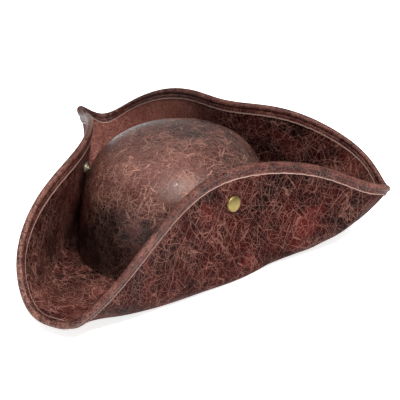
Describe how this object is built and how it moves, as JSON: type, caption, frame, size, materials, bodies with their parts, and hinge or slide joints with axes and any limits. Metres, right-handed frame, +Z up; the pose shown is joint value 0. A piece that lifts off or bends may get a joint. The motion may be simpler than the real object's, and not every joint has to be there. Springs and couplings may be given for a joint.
{
  "type": "pirate tricorn hat",
  "caption": "Pirate tricorn hat of distressed leather cloth with a domed crown, wired and bound brim turned up in flaps, and press studs holding the side flaps to the crown.",
  "frame": {"origin": "middle of the head opening, in the plane of the brim's underside that the hat rests on", "axes": "+Z up towards the top of the crown, +X towards the wearer's left, -Y towards the front spout"},
  "size_m": [0.3556, 0.3472, 0.1138],
  "materials": {
    "leather_cloth": "crackled, worn satin",
    "binding_leather": "worn satin, lighter on the bead",
    "felt": "matte felt",
    "lining_cloth": "matte woven",
    "band_cloth": "matte ribbed",
    "thread": "matte twisted",
    "spring_wire": "drawn",
    "brass": "antique satin"
  },
  "bodies": {
    "root": {"crown_cover": "leather_cloth", "crown_interlining": "felt", "crown_lining": "lining_cloth", "brim_upper_cover": "leather_cloth", "brim_interlining": "felt", "brim_lower_cover": "leather_cloth", "edge_binding": "binding_leather", "hem_top_thread": "thread", "hem_under_thread": "thread", "rim_wire": "spring_wire", "wire_ferrule": "spring_wire", "seam_tape": "band_cloth", "sweatband": "band_cloth", "sweatband_thread": "thread", "snap_cap_left": "brass", "snap_socket_left": "brass", "snap_stud_left": "brass", "snap_post_left": "brass", "snap_cap_right": "brass", "snap_socket_right": "brass", "snap_stud_right": "brass", "snap_post_right": "brass"}
  },
  "joints": []
}
